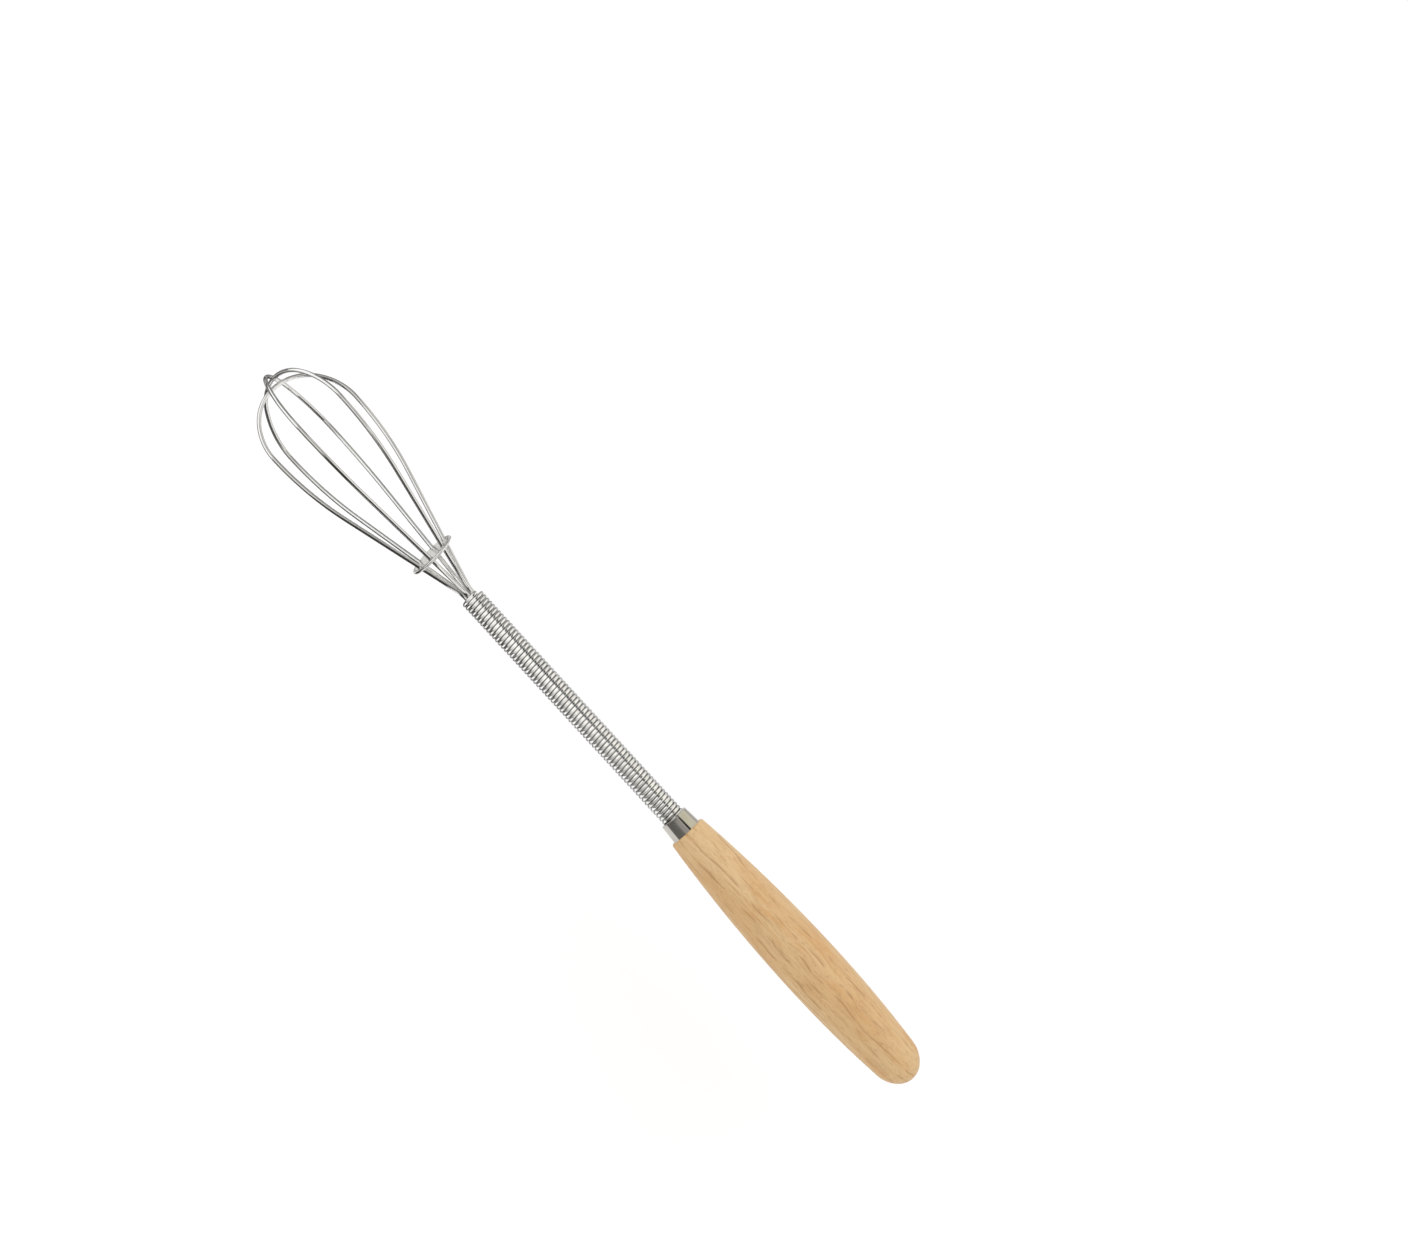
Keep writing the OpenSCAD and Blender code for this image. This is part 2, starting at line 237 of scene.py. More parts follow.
class LoopSettings(PropertyGroup):
    """Sizes of the three wire loops."""

    wire_thickness: FloatProperty(
        name="Wire thickness", description="Thickness of the loop wire",
        unit="LENGTH", subtype="DISTANCE", default=WIRE_THICKNESS, min=0.5 * MM, max=2 * MM)
    leg_radius: FloatProperty(
        name="Leg radius", description="Distance of each leg from the whisk's axis inside the neck",
        unit="LENGTH", subtype="DISTANCE", default=1.05 * MM, min=0.5 * MM, max=3 * MM)
    mouth: FloatProperty(
        name="Mouth", description="Place of the coil's mouth along the whisk, where the legs start to spread",
        unit="LENGTH", subtype="DISTANCE", default=38.211 * MM)
    spread: FloatProperty(
        name="Spread", description="Angle between a tine and the whisk's axis",
        unit="ROTATION", subtype="ANGLE", default=math.radians(15.5), min=0.1, max=0.6)
    neck_bend: FloatProperty(
        name="Neck bend", description="Bend radius where a tine leaves the neck",
        unit="LENGTH", subtype="DISTANCE", default=9.7 * MM, min=2 * MM, max=30 * MM)
    belly_bend: FloatProperty(
        name="Belly bend", description="Radius of the long bend towards the head's widest place",
        unit="LENGTH", subtype="DISTANCE", default=74 * MM, min=20 * MM, max=120 * MM)
    head_radius: FloatProperty(
        name="Head radius", description="Radius of the head, to the middle of the wire",
        unit="LENGTH", subtype="DISTANCE", default=HEAD_RADIUS, min=5 * MM, max=40 * MM)
    shoulder: FloatProperty(
        name="Shoulder", description="Angle at which the shoulder bend turns into the crown bend",
        unit="ROTATION", subtype="ANGLE", default=math.radians(42), min=0.3, max=1.2)
    sides: IntProperty(
        name="Sides", description="Sides of the wire's section", default=24, min=8, max=48)


class StudioSettings(PropertyGroup):
    """Where the camera stands and how bright the studio is."""

    distance: FloatProperty(
        name="Camera distance", description="Distance from the camera to the plane of the whisk",
        unit="LENGTH", subtype="DISTANCE", default=430 * MM, min=0.1, max=3)
    beside: FloatProperty(
        name="Camera offset", description="How far the camera stands to the side of the whisk",
        unit="LENGTH", subtype="DISTANCE", default=33.89 * MM, min=-1, max=1)
    ahead: FloatProperty(
        name="Camera place", description="Where along the whisk the camera stands",
        unit="LENGTH", subtype="DISTANCE", default=0.585 * MM, min=-1, max=1)
    heading: FloatProperty(
        name="Heading", description="Direction of the whisk's head in the picture, counted from the right",
        unit="ROTATION", subtype="ANGLE", default=math.radians(132.57), min=-math.pi, max=math.pi)
    roll: FloatProperty(
        name="Roll", description="Angle of the camera about the whisk's axis, from straight above",
        unit="ROTATION", subtype="ANGLE", default=math.radians(21.5), min=-math.pi, max=math.pi)
    scale: FloatProperty(
        name="Pixels per metre", description="Pixels of the picture for one metre at the whisk",
        default=4642, min=100)
    floor_depth: FloatProperty(
        name="Floor depth", description="Distance from the whisk's axis down to the floor",
        unit="LENGTH", subtype="DISTANCE", default=60 * MM, min=0.012, max=1)
    sky: FloatProperty(
        name="Sky", description="Strength of the even light from all round", default=1.0, min=0, max=5)
    softbox: FloatProperty(
        name="Softbox", description="Power of the large lamp overhead",
        unit="POWER", default=2.0, min=0, max=100)


def add_node(tree, kind, feeds=None, **options):
    """Adds a node, sets its options, and feeds its inputs with values or with other nodes' outputs."""
    made = tree.nodes.new(kind)
    for option, value in options.items():
        setattr(made, option, value)
    for socket, value in (feeds or {}).items():
        if isinstance(value, bpy.types.NodeSocket):
            tree.links.new(value, made.inputs[socket])
        else:
            made.inputs[socket].default_value = value
    return made


def work_out(tree, operation, *values):
    """Adds a Math node over numbers or outputs, and returns its result."""
    return add_node(tree, "ShaderNodeMath", dict(enumerate(values)), operation=operation).outputs[0]


def new_finish(name):
    """Makes an empty material, and returns it with its node tree and its Principled shader."""
    material = bpy.data.materials.new(name)
    material.use_nodes = True
    tree = material.node_tree
    tree.nodes.clear()
    shader = add_node(tree, "ShaderNodeBsdfPrincipled")
    output = add_node(tree, "ShaderNodeOutputMaterial")
    tree.links.new(shader.outputs["BSDF"], output.inputs["Surface"])
    return material, tree, shader


def stretched_noise(tree, place, stretch, detail=3.0, roughness=0.5, distortion=0.0):
    """A noise pattern over a place, stretched by a scale for each axis."""
    mapping = add_node(tree, "ShaderNodeMapping", {"Vector": place, "Scale": stretch})
    noise = add_node(
        tree, "ShaderNodeTexNoise",
        {"Vector": mapping.outputs[0], "Scale": 1.0, "Detail": detail, "Roughness": roughness,
         "Distortion": distortion})
    return noise.outputs["Fac"]


def ranged(tree, value, low, high, to_low=0.0, to_high=1.0):
    """Maps a value from one range to another with soft ends."""
    return add_node(
        tree, "ShaderNodeMapRange",
        {"Value": value, "From Min": low, "From Max": high, "To Min": to_low, "To Max": to_high},
        interpolation_type="SMOOTHSTEP").outputs["Result"]


def blend_colours(tree, share, first, second):
    """Mixes two colours by a share."""
    mix = add_node(tree, "ShaderNodeMix", data_type="RGBA")
    tree.links.new(share, mix.inputs["Factor"])
    for socket, colour in ((mix.inputs[6], first), (mix.inputs[7], second)):
        if isinstance(colour, bpy.types.NodeSocket):
            tree.links.new(colour, socket)
        else:
            socket.default_value = (*colour, 1)
    return mix.outputs[2]


def beech_finish(beech):
    """Oiled beech: broad tones, growth lines, fine fibres and short ray flecks, all along the grain."""
    material, tree, shader = new_finish("oiled_beech")
    place = add_node(tree, "ShaderNodeTexCoord").outputs["Object"]
    across = 1 / beech.band_width
    along = 1 / (14 * beech.band_width)
    fine = 1 / (0.07 * beech.fleck_length)

    # The grain wanders a little from side to side
    bends = (130, 220, 220)
    sway = (0, beech.wander, beech.wander)
    drift = add_node(tree, "ShaderNodeMapping", {"Vector": place, "Scale": bends})
    drift = add_node(tree, "ShaderNodeTexNoise", {"Vector": drift.outputs[0], "Scale": 1.0, "Detail": 1.0})
    drift = add_node(
        tree, "ShaderNodeVectorMath", {0: drift.outputs["Color"], 1: (0.5, 0.5, 0.5)},
        operation="SUBTRACT")
    drift = add_node(
        tree, "ShaderNodeVectorMath", {0: drift.outputs[0], 1: sway, 2: place}, operation="MULTIPLY_ADD")
    place = drift.outputs[0]

    # Broad tones, and warm streaks that run a good part of the handle
    tone = ranged(tree, stretched_noise(tree, place, (along, across / 3, across / 3), 2), 0.35, 0.7)
    streak = ranged(tree, stretched_noise(tree, place, (2 * along, across, across), 4, 0.6, 0.3), 0.5, 0.72)

    # Growth lines: sheets of darker wood that lie flat to the side the handle was sawn from.
    # A wave texture of scale 1 has 10 / pi bands to the metre, hence its scale here.
    stretch = 0.12
    sawn = add_node(tree, "ShaderNodeMapping", {
        "Vector": place, "Rotation": (-beech.sawn_angle, 0, 0), "Scale": (stretch, 1, 1)})
    sheets = add_node(tree, "ShaderNodeTexWave", {
        "Vector": sawn.outputs[0], "Scale": math.pi / (10 * beech.band_width), "Distortion": 5.0,
        "Detail": 3.0, "Detail Scale": 0.7, "Detail Roughness": 0.6, "Phase Offset": beech.sheet_phase},
        bands_direction="Y", wave_profile="SAW")
    line = ranged(tree, sheets.outputs["Fac"], 0.72, 0.95)
    line = work_out(tree, "MULTIPLY", line, ranged(tree, sheets.outputs["Fac"], 0.96, 1.0, 1.0, 0.0))
    broken = stretched_noise(tree, place, (1 / (2.5 * beech.fleck_length), across, across), 2)
    broken = ranged(tree, broken, 0.42, 0.62)
    line = work_out(tree, "MULTIPLY", line, broken)

    # The lines spread and fade where the surface lies flat to the sheets
    sides = add_node(tree, "ShaderNodeSeparateXYZ", {0: sawn.outputs[0]}).outputs
    flat = work_out(
        tree, "ARCTAN2", work_out(tree, "ABSOLUTE", sides["Y"]), work_out(tree, "ABSOLUTE", sides["Z"]))
    shown = ranged(tree, flat, math.radians(52), math.radians(76), 1.0, 0.2)
    line = work_out(tree, "MULTIPLY", line, shown)

    # Fibres, ray flecks and pores: ever shorter and finer dashes
    fibres = stretched_noise(tree, place, (1 / (3 * beech.fleck_length), fine / 3, fine / 3), 4, 0.65)
    fibre = ranged(tree, fibres, 0.42, 0.68)
    dashes = stretched_noise(tree, place, (1 / beech.fleck_length, fine, fine), 1.5, 0.55, 0.2)
    fleck = ranged(tree, dashes, 0.6, 0.72)
    pores = stretched_noise(tree, place, (2.5 / beech.fleck_length, 2 * fine, 2 * fine), 2, 0.6)
    pore = ranged(tree, pores, 0.6, 0.75)

    # Each layer's pattern, strength and colour, laid over the pale wood in turn
    layers = (
        (tone, 0.55, beech.warm), (streak, 0.8, beech.warm), (fibre, 0.3, beech.dark),
        (line, 0.7, beech.dark), (fleck, 0.55, beech.fleck), (pore, 0.15, beech.fleck))
    colour = beech.pale
    for pattern, strength, tint in layers:
        colour = blend_colours(tree, work_out(tree, "MULTIPLY", pattern, strength), colour, tint)
    tree.links.new(colour, shader.inputs["Base Color"])

    rough = ranged(tree, dashes, 0.3, 0.8, beech.roughness - 0.06, beech.roughness + 0.1)
    tree.links.new(rough, shader.inputs["Roughness"])
    shader.inputs["Specular IOR Level"].default_value = 0.35

    # Flecks and pores are slight hollows
    hollow = work_out(tree, "MULTIPLY_ADD", fleck, 0.7, work_out(tree, "MULTIPLY", pore, 0.5))
    bump = add_node(
        tree, "ShaderNodeBump", {"Strength": 0.35, "Distance": 0.03 * MM, "Height": hollow}, invert=True)
    tree.links.new(bump.outputs[0], shader.inputs["Normal"])
    return material


def steel_finish(name, colour, roughness, edge=0.0, place_name=None, scratch=DRAWN_LINES):
    """Polished steel with fine lines and duller patches, over a stored place or the object's coordinates."""
    material, tree, shader = new_finish(name)
    if place_name:
        place = add_node(tree, "ShaderNodeAttribute", attribute_name=place_name).outputs["Vector"]
    else:
        place = add_node(tree, "ShaderNodeTexCoord").outputs["Object"]
    lines = stretched_noise(tree, place, scratch, 2, 0.6)
    cloud = stretched_noise(tree, place, DULL_PATCHES, 3, 0.6)
    shader.inputs["Metallic"].default_value = 1.0
    shader.inputs["Specular Tint"].default_value = (1 - edge, 1 - edge, 1 - edge, 1)
    duller = tuple(0.86 * part for part in colour)
    tint = blend_colours(tree, ranged(tree, cloud, 0.4, 0.75), colour, duller)
    tree.links.new(tint, shader.inputs["Base Color"])
    rough = work_out(tree, "MULTIPLY_ADD", lines, 0.6, work_out(tree, "MULTIPLY", cloud, 0.4))
    rough = ranged(tree, rough, 0.35, 0.7, roughness * 0.7, roughness * 1.5)
    tree.links.new(rough, shader.inputs["Roughness"])
    bump = add_node(tree, "ShaderNodeBump", {"Strength": 0.08, "Distance": 0.01 * MM, "Height": lines})
    tree.links.new(bump.outputs[0], shader.inputs["Normal"])
    return material


def shade_by_radius(material, colour, *slopes):
    """Paints shade into a finish's colour by the distance from the whisk's axis.

    Each slope gives two distances and the share of the colour at each, and the shares are multiplied.
    """
    tree = material.node_tree
    shader = next(node for node in tree.nodes if node.type == "BSDF_PRINCIPLED")
    place = add_node(tree, "ShaderNodeTexCoord").outputs["Object"]
    flat = add_node(tree, "ShaderNodeMapping", {"Vector": place, "Scale": (0, 1, 1)}).outputs[0]
    radius = add_node(tree, "ShaderNodeVectorMath", {0: flat}, operation="LENGTH").outputs["Value"]
    shade = 1.0
    for low, high, first, last in slopes:
        shade = work_out(tree, "MULTIPLY", ranged(tree, radius, low, high, first, last), shade)
    unshaded = shader.inputs["Base Color"].links[0].from_socket
    tree.links.new(blend_colours(tree, shade, unshaded, colour), shader.inputs["Base Color"])


def new_group(name, inputs):
    """Makes a geometry node group with named inputs, and returns it with its input node's outputs."""
    tree = bpy.data.node_groups.new(name, "GeometryNodeTree")
    tree.interface.new_socket("Geometry", in_out="OUTPUT", socket_type="NodeSocketGeometry")
    for label, kind in inputs:
        tree.interface.new_socket(label, in_out="INPUT", socket_type=kind)
    return tree, tree.nodes.new("NodeGroupInput").outputs


def sweep_wire(tree, path, given):
    """Sweeps a round wire along a path, keeps its place along and round the wire, and ends the group."""
    radius = work_out(tree, "MULTIPLY", given["Wire thickness"], 0.5)
    along = add_node(tree, "GeometryNodeSplineParameter").outputs["Length"]
    kept_path = add_node(tree, "GeometryNodeCaptureAttribute", {"Geometry": path})
    kept_path.capture_items.new("FLOAT", "Along")
    tree.links.new(along, kept_path.inputs["Along"])

    circle = add_node(
        tree, "GeometryNodeCurvePrimitiveCircle", {"Resolution": given["Sides"], "Radius": radius})
    index = add_node(tree, "GeometryNodeInputIndex").outputs[0]
    turn = work_out(tree, "DIVIDE", work_out(tree, "MULTIPLY", index, 2 * math.pi), given["Sides"])
    kept_circle = add_node(tree, "GeometryNodeCaptureAttribute", {"Geometry": circle.outputs["Curve"]})
    kept_circle.capture_items.new("FLOAT", "Turn")
    tree.links.new(turn, kept_circle.inputs["Turn"])

    swept = add_node(tree, "GeometryNodeCurveToMesh", {
        "Curve": kept_path.outputs["Geometry"],
        "Profile Curve": kept_circle.outputs["Geometry"],
        "Fill Caps": True})
    place = add_node(tree, "ShaderNodeCombineXYZ", {
        "X": kept_path.outputs["Along"],
        "Y": work_out(tree, "MULTIPLY", work_out(tree, "COSINE", kept_circle.outputs["Turn"]), radius),
        "Z": work_out(tree, "MULTIPLY", work_out(tree, "SINE", kept_circle.outputs["Turn"]), radius)})
    stored = add_node(
        tree, "GeometryNodeStoreNamedAttribute",
        {"Geometry": swept.outputs[0], "Name": "wire_place", "Value": place.outputs[0]},
        data_type="FLOAT_VECTOR", domain="POINT")
    realized = add_node(tree, "GeometryNodeRealizeInstances", {"Geometry": stored.outputs[0]})
    finished = add_node(
        tree, "GeometryNodeSetMaterial", {"Geometry": realized.outputs[0], "Material": given["Material"]})
    output = tree.nodes.new("NodeGroupOutput")
    tree.links.new(finished.outputs[0], output.inputs[0])


def coil_group():
    """A node group that winds one wire into a close coil along X."""
    tree, given = new_group("wound coil", (
        ("Start", "NodeSocketFloat"), ("End", "NodeSocketFloat"), ("Turns", "NodeSocketFloat"),
        ("Radius", "NodeSocketFloat"), ("End angle", "NodeSocketFloat"), ("Unevenness", "NodeSocketFloat"),
        ("Seed", "NodeSocketFloat"), ("Points per turn", "NodeSocketInt"), ("Sides", "NodeSocketInt"),
        ("Wire thickness", "NodeSocketFloat"), ("Material", "NodeSocketMaterial")))
    steps = work_out(tree, "CEIL", work_out(tree, "MULTIPLY", given["Turns"], given["Points per turn"]))
    line = add_node(tree, "GeometryNodeMeshLine", {"Count": work_out(tree, "ADD", steps, 1)})
    curve = add_node(tree, "GeometryNodeMeshToCurve", {"Mesh": line.outputs[0]})
    share = work_out(tree, "DIVIDE", add_node(tree, "GeometryNodeInputIndex").outputs[0], steps)
    before_end = work_out(tree, "MULTIPLY", work_out(tree, "SUBTRACT", 1, share), given["Turns"])
    turned = work_out(tree, "MULTIPLY", before_end, 2 * math.pi)
    angle = work_out(tree, "SUBTRACT", given["End angle"], turned)

    # Two noises, far apart in one pattern, push each turn a little along the neck and inwards
    seeded = work_out(tree, "ADD", before_end, given["Seed"])
    shifts = []
    for apart in (0, 57.3):
        noise = add_node(
            tree, "ShaderNodeTexNoise",
            {"W": work_out(tree, "ADD", seeded, apart), "Scale": 1.3, "Detail": 2.0},
            noise_dimensions="1D")
        centred = work_out(tree, "SUBTRACT", noise.outputs["Fac"], 0.5)
        shifts.append(work_out(tree, "MULTIPLY", centred, work_out(tree, "MULTIPLY", given["Unevenness"], 4)))
    length = work_out(tree, "SUBTRACT", given["End"], given["Start"])
    x = work_out(tree, "ADD", work_out(tree, "MULTIPLY_ADD", length, share, given["Start"]), shifts[0])
    radius = work_out(tree, "SUBTRACT", given["Radius"], work_out(tree, "ABSOLUTE", shifts[1]))
    place = add_node(tree, "ShaderNodeCombineXYZ", {
        "X": x,
        "Y": work_out(tree, "MULTIPLY", work_out(tree, "COSINE", angle), radius),
        "Z": work_out(tree, "MULTIPLY", work_out(tree, "SINE", angle), radius)})
    wound = add_node(
        tree, "GeometryNodeSetPosition", {"Geometry": curve.outputs[0], "Position": place.outputs[0]})
    sweep_wire(tree, wound.outputs[0], given)
    return tree


def bent_wire_group():
    """A node group that sweeps a wire along the object's own curve."""
    tree, given = new_group("bent wire", (
        ("Path", "NodeSocketGeometry"), ("Sides", "NodeSocketInt"), ("Wire thickness", "NodeSocketFloat"),
        ("Material", "NodeSocketMaterial")))
    sweep_wire(tree, given["Path"], given)
    return tree


def mesh_piece(name, source, tree, values):
    """Runs a node group on an object, and replaces that object with the plain mesh that comes out."""
    modifier = source.modifiers.new("Build", "NODES")
    modifier.node_group = tree
    for item in tree.interface.items_tree:
        if item.in_out == "INPUT" and item.name in values:
            modifier[item.identifier] = values[item.name]
    depsgraph = bpy.context.evaluated_depsgraph_get()
    mesh = bpy.data.meshes.new_from_object(source.evaluated_get(depsgraph), depsgraph=depsgraph)
    source.modifiers.remove(modifier)
    bpy.data.objects.remove(source)
    if not mesh.polygons:
        raise RuntimeError(f"the node group {tree.name} made no mesh for {name}")
    mesh.name = name
    mesh.shade_smooth()
    mesh.set_sharp_from_angle(angle=SHARP_ANGLE)
    piece = bpy.data.objects.new(name, mesh)
    bpy.context.scene.collection.objects.link(piece)
    return piece


def curve_through(name, points):
    """An object with one open curve of straight steps through the points."""
    curve = bpy.data.curves.new(name, "CURVE")
    curve.dimensions = "3D"
    spline = curve.splines.new("POLY")
    spline.points.add(len(points) - 1)
    for knot, point in zip(spline.points, points):
        knot.co = (*point, 1)
    path = bpy.data.objects.new(name, curve)
    bpy.context.scene.collection.objects.link(path)
    return path


def arc(centre, radius, start, stop, steps):
    """Points of an arc after its first one, from one angle to another."""
    angles = [start + (stop - start) * i / steps for i in range(1, steps + 1)]
    return [(centre[0] + radius * math.cos(a), centre[1] + radius * math.sin(a)) for a in angles]


def loop_points(sizes, leg_end, tip, turn):
    """Points of a whole loop: leg, neck bend, flare, belly bend, shoulder, crown, and the same way back."""
    quarter = math.pi / 2
    bends = (sizes.neck_bend + sizes.belly_bend) * (1 - math.cos(sizes.spread))
    flare = (sizes.head_radius - sizes.leg_radius - bends) / math.sin(sizes.spread)
    belly_x = sizes.mouth + (sizes.neck_bend + sizes.belly_bend) * math.sin(sizes.spread)
    belly_x += flare * math.cos(sizes.spread)
    crown = tip - sizes.wire_thickness / 2 - belly_x
    turned = math.sin(sizes.shoulder) + math.cos(sizes.shoulder) - 1
    shoulder_r = crown * math.cos(sizes.shoulder) - sizes.head_radius * (1 - math.sin(sizes.shoulder))
    shoulder_r /= turned
    crown_r = sizes.head_radius * math.sin(sizes.shoulder) - crown * (1 - math.cos(sizes.shoulder))
    crown_r /= turned

    half = [(leg_end, sizes.leg_radius), (sizes.mouth, sizes.leg_radius)]
    half += arc((sizes.mouth, sizes.leg_radius + sizes.neck_bend), sizes.neck_bend,
                -quarter, sizes.spread - quarter, NECK_STEPS)
    belly_centre = (belly_x, sizes.head_radius - sizes.belly_bend)
    start = quarter + sizes.spread
    half.append((belly_centre[0] + sizes.belly_bend * math.cos(start),
                 belly_centre[1] + sizes.belly_bend * math.sin(start)))
    half += arc(belly_centre, sizes.belly_bend, start, quarter, BELLY_STEPS)
    half += arc((belly_x, sizes.head_radius - shoulder_r), shoulder_r,
                quarter, quarter - sizes.shoulder, SHOULDER_STEPS)
    half += arc((belly_x + crown - crown_r, 0), crown_r, quarter - sizes.shoulder, 0, CROWN_STEPS)
    whole = half + [(x, -y) for x, y in reversed(half[:-1])]
    return [(x, y * math.cos(turn), y * math.sin(turn)) for x, y in whole]


def seat(piece, node):
    """Makes a piece stand for a node and move with the whisk."""
    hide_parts(node)
    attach(piece, BODY)


def refinish(node, material):
    """Gives a packed node its finish."""
    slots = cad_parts[node].data.materials
    slots.clear()
    slots.append(material)


class WHISK_OT_handle(Operator):
    """Finish the turned handle in oiled beech"""

    bl_idname = "whisk.handle"
    bl_label = "Handle"

    def execute(self, context):
        refinish("handle", beech_finish(context.scene.whisk_beech))
        return {"FINISHED"}


class WHISK_OT_ferrule(Operator):
    """Finish the ferrule and the retaining disc in polished steel sheet"""

    bl_idname = "whisk.ferrule"
    bl_label = "Ferrule and disc"

    def execute(self, context):
        steel = context.scene.whisk_steel
        sheet = steel_finish("ferrule_steel", steel.sheet, steel.polish, scratch=TURNED_LINES)
        refinish("ferrule", sheet)

        # The disc is duller, with a ring of painted shade at the foot of its rounded rim
        dull = 3 * steel.polish
        foot = 0.9 * DISC_RADIUS
        slope = 0.08 * DISC_RADIUS
        plate = steel_finish("disc_steel", steel.plate, dull, edge=0.1, scratch=EVEN_GRAIN)
        shade_by_radius(plate, steel.painted_shade, (foot - slope, foot, 0, 0.7), (foot, foot + slope, 1, 0))
        refinish("retaining_disc", plate)
        return {"FINISHED"}


class WHISK_OT_coil(Operator):
    """Wind the neck coil from one wire"""

    bl_idname = "whisk.coil"
    bl_label = "Neck coil"

    def execute(self, context):
        sizes = context.scene.whisk_coil
        steel = context.scene.whisk_steel
        end = context.scene.whisk_loops.mouth - sizes.wire_thickness / 2
        middle = (sizes.outside - sizes.wire_thickness) / 2
        # The grooves between the turns are painted with shade, full below the wire's middle and fading out
        # above it
        groove_shade_top = middle + sizes.groove_shade_depth * sizes.wire_thickness
        material = steel_finish("coil_steel", steel.coil, steel.polish, steel.edge, "wire_place")
        shade_by_radius(material, steel.painted_shade, (middle, groove_shade_top, 1, 0))
        source = bpy.data.objects.new("coil_source", bpy.data.meshes.new("coil_source"))
        context.scene.collection.objects.link(source)
        coil = mesh_piece("wound_coil", source, coil_group(), {
            "Start": COIL_START,
            "End": end,
            "Turns": (end - COIL_START) / sizes.pitch,
            "Radius": middle,
            "End angle": sizes.end_angle,
            "Unevenness": sizes.unevenness,
            "Seed": sizes.seed,
            "Points per turn": sizes.points_per_turn,
            "Sides": sizes.sides,
            "Wire thickness": sizes.wire_thickness,
            "Material": material})
        seat(coil, "neck_coil")
        return {"FINISHED"}


class WHISK_OT_loops(Operator):
    """Bend the three wire loops"""

    bl_idname = "whisk.loops"
    bl_label = "Wire loops"

    def execute(self, context):
        sizes = context.scene.whisk_loops
        steel = context.scene.whisk_steel
        material = steel_finish("loop_steel", steel.wire, steel.polish, steel.edge, "wire_place")
        tree = bent_wire_group()
        for node, turn in LOOPS.items():
            low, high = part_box(node)
            path = curve_through(node + "_path", loop_points(sizes, low.x, high.x, math.radians(turn)))
            wire = mesh_piece(node + "_wire", path, tree, {
                "Sides": sizes.sides, "Wire thickness": sizes.wire_thickness, "Material": material})
            seat(wire, node)
        return {"FINISHED"}


def studio_axes(roll):
    """The camera's view of the whisk: along it, across it and towards the camera."""
    along = Vector((1, 0, 0))
    across = Vector((0, math.cos(roll), -math.sin(roll)))
    towards = Vector((0, math.sin(roll), math.cos(roll)))
    return along, across, towards


def flat_finish(name, colour):
    """A dull even finish for the floor, with a faint mottle."""
    material, tree, shader = new_finish(name)
    place = add_node(tree, "ShaderNodeTexCoord").outputs["Object"]
    mottle = ranged(tree, stretched_noise(tree, place, (8, 8, 8), 2), 0.3, 0.7)
    darker = tuple(0.985 * part for part in colour)
    tree.links.new(blend_colours(tree, mottle, colour, darker), shader.inputs["Base Color"])
    shader.inputs["Roughness"].default_value = 0.9
    shader.inputs["Specular IOR Level"].default_value = 0.1
    return material


def glow_finish(name, stops, tint):
    """A card's glow, graded by its own attribute from one stop (place, brightness) to the next."""
    material = bpy.data.materials.new(name)
    material.use_nodes = True
    tree = material.node_tree
    tree.nodes.clear()
    graded = add_node(tree, "ShaderNodeAttribute", attribute_name="graded").outputs["Fac"]
    ramp = add_node(tree, "ShaderNodeValToRGB", {"Fac": graded})
    colours = ramp.color_ramp.elements
    while len(colours) < len(stops):
        colours.new(0.5)
    for colour, (place, brightness) in zip(colours, stops):
        colour.position = place
        colour.color = (*(brightness * part for part in tint), 1)
    glow = add_node(tree, "ShaderNodeEmission", {"Color": ramp.outputs[0]})
    output = add_node(tree, "ShaderNodeOutputMaterial")
    tree.links.new(glow.outputs[0], output.inputs["Surface"])
    return material


def stage_mesh(name, points, faces, material):
    """A mesh that belongs to the studio and not to the whisk, and its object."""
    mesh = bpy.data.meshes.new(name)
    mesh.from_pydata(points, [], faces)
    mesh.materials.append(material)
    made = bpy.data.objects.new(name, mesh)
    bpy.context.scene.collection.objects.link(made)
    return made


def reflected_only(card):
    """Leaves a card to show in polished metal alone."""
    card.visible_camera = False
    card.visible_diffuse = False
    card.visible_transmission = False
    card.visible_shadow = False


def curved_card(axes, name, radius, reach, tint, stops):
    """A card bent round the whisk's axis, graded round it from one stop (degrees, brightness) to the next."""
    along, across, towards = axes
    first, last = stops[0][0], stops[-1][0]
    points = []
    for x in reach:
        for k in range(CARD_STRIPS + 1):
            angle = math.radians(first + (last - first) * k / CARD_STRIPS)
            points.append(along * x + (across * math.sin(angle) + towards * math.cos(angle)) * radius)
    row = CARD_STRIPS + 1
    faces = [(k, k + 1, row + k + 1, row + k) for k in range(CARD_STRIPS)]
    graded = [((degrees - first) / (last - first), brightness) for degrees, brightness in stops]
    card = stage_mesh(name, points, faces, glow_finish(name, graded, tint))
    places = card.data.attributes.new("graded", "FLOAT", "POINT")
    places.data.foreach_set("value", [k / CARD_STRIPS for _ in reach for k in range(row)])
    reflected_only(card)


def flat_card(name, corners, brightness):
    """A flat card through four corners, of one brightness."""
    finish = glow_finish(name, ((0, brightness), (1, brightness)), NEUTRAL)
    reflected_only(stage_mesh(name, corners, [(0, 1, 2, 3)], finish))


def level_card(name, x_range, y_range, brightness):
    """A flat card just above the floor."""
    (x0, x1), (y0, y1) = x_range, y_range
    flat_card(name, [(x0, y0, LOW), (x1, y0, LOW), (x1, y1, LOW), (x0, y1, LOW)], brightness)


def upright_card(name, x_range, y_range, top, brightness):
    """A flat card that stands on the floor between two places."""
    (x0, x1), (y0, y1) = x_range, y_range
    flat_card(name, [(x0, y0, LOW), (x1, y1, LOW), (x1, y1, top), (x0, y0, top)], brightness)


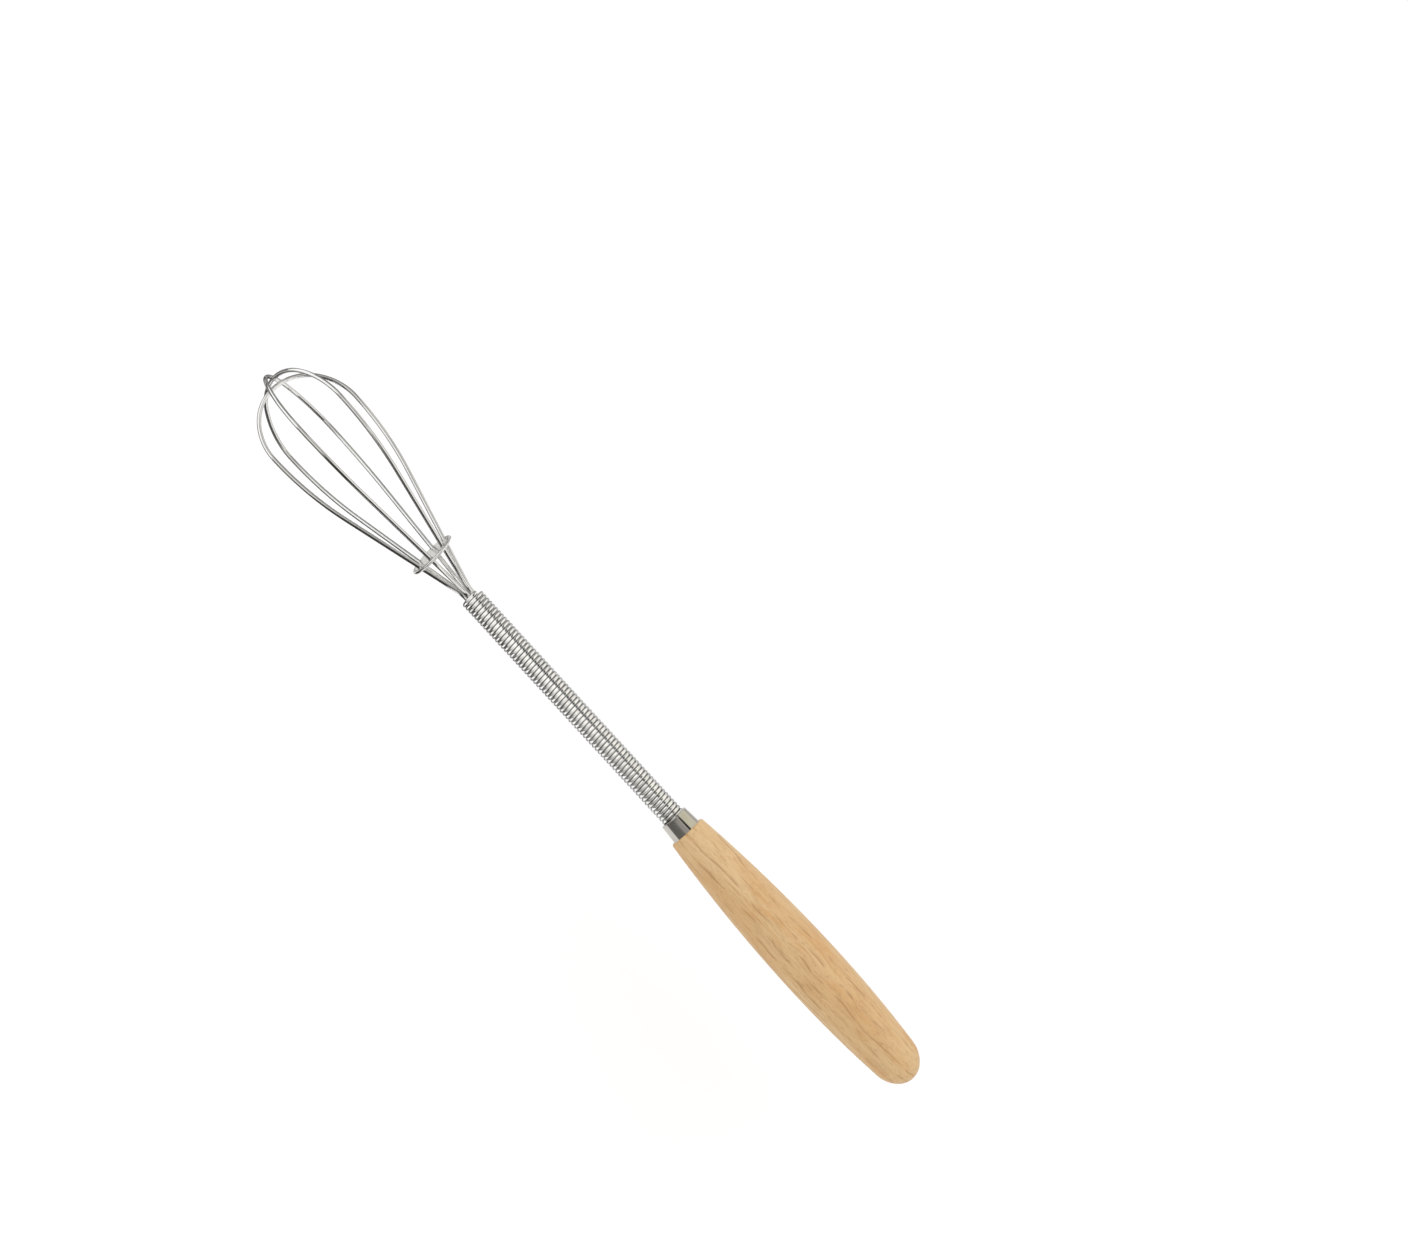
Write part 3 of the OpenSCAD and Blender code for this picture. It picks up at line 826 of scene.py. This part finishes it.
class WHISK_OT_studio(Operator):
    """Set the camera, the pale floor and the soft light"""

    bl_idname = "whisk.studio"
    bl_label = "Studio"

    def execute(self, context):
        studio = context.scene.whisk_studio
        self.camera(context, studio)
        self.floor(studio)
        self.light(context, studio)
        return {"FINISHED"}

    def camera(self, context, studio):
        """A camera square to the whisk's length, with the picture's middle beside the neck."""
        along, across, towards = studio_axes(studio.roll)
        head_right, head_up = math.cos(studio.heading), math.sin(studio.heading)
        right = along * head_right - across * head_up
        up = along * head_up + across * head_right
        place = along * studio.ahead - across * studio.beside + towards * studio.distance
        lens = bpy.data.cameras.new("picture_camera")
        lens.sensor_width = 36
        lens.lens = lens.sensor_width * studio.scale * studio.distance / PICTURE_SIZE[0]
        lens.clip_start = 0.01
        camera = bpy.data.objects.new("picture_camera", lens)
        context.scene.collection.objects.link(camera)
        turned = Matrix((right, up, towards)).transposed().to_4x4()
        camera.matrix_world = Matrix.Translation(place) @ turned
        context.scene.camera = camera

    def floor(self, studio):
        """A wide pale floor below the whisk."""
        far = FLOOR_REACH
        low = -studio.floor_depth
        corners = [(-far, -far, low), (far, -far, low), (far, far, low), (-far, far, low)]
        stage_mesh("floor", corners, [(0, 1, 2, 3)], flat_finish("pale_floor", (0.95, 0.95, 0.95)))

    def light(self, context, studio):
        """An even pale sky, one large softbox, and the cards that draw the lines in the steel."""
        world = bpy.data.worlds.new("studio_sky")
        world.use_nodes = True
        sky = world.node_tree.nodes["Background"]
        sky.inputs["Color"].default_value = (1, 1, 1, 1)
        sky.inputs["Strength"].default_value = studio.sky
        context.scene.world = world

        lamp = bpy.data.lights.new("softbox", "AREA")
        lamp.energy = studio.softbox
        lamp.size = 0.9
        softbox = bpy.data.objects.new("softbox", lamp)
        softbox.location = (0.1, -0.5, 0.8)
        aim = Vector((0, 0, 0)) - softbox.location
        softbox.rotation_euler = aim.to_track_quat("-Z", "Y").to_euler()
        softbox.visible_glossy = False
        context.scene.collection.objects.link(softbox)

        axes = studio_axes(studio.roll)
        for card in CURVED_CARDS:
            curved_card(axes, *card)
        for card in LEVEL_CARDS:
            level_card(*card)
        for card in UPRIGHT_CARDS:
            upright_card(*card)


class WHISK_PT_panel(Panel):
    """Lists the whisk's pieces and their settings."""

    bl_label = "Hand whisk"
    bl_idname = "WHISK_PT_panel"
    bl_space_type = "VIEW_3D"
    bl_region_type = "UI"
    bl_category = "Whisk"

    def draw(self, context):
        for operator in OPERATORS:
            self.layout.operator(operator.bl_idname)
        for name, group in SETTINGS.items():
            box = self.layout.box()
            box.label(text=group.__doc__)
            for label in group.__annotations__:
                box.prop(getattr(context.scene, name), label)


SETTINGS = {
    "whisk_beech": BeechSettings,
    "whisk_steel": SteelSettings,
    "whisk_coil": CoilSettings,
    "whisk_loops": LoopSettings,
    "whisk_studio": StudioSettings,
}
OPERATORS = (WHISK_OT_handle, WHISK_OT_ferrule, WHISK_OT_coil, WHISK_OT_loops, WHISK_OT_studio)


def register():
    for name, group in SETTINGS.items():
        bpy.utils.register_class(group)
        setattr(bpy.types.Scene, name, PointerProperty(type=group))
    for kind in (*OPERATORS, WHISK_PT_panel):
        bpy.utils.register_class(kind)


def unregister():
    for kind in reversed((*OPERATORS, WHISK_PT_panel)):
        bpy.utils.unregister_class(kind)
    for name, group in reversed(SETTINGS.items()):
        delattr(bpy.types.Scene, name)
        bpy.utils.unregister_class(group)


def main():
    register()
    bpy.context.scene.view_settings.view_transform = "Standard"
    bpy.ops.whisk.handle()
    bpy.ops.whisk.ferrule()
    bpy.ops.whisk.coil()
    bpy.ops.whisk.loops()
    bpy.ops.whisk.studio()


if __name__ == "__main__":
    main()
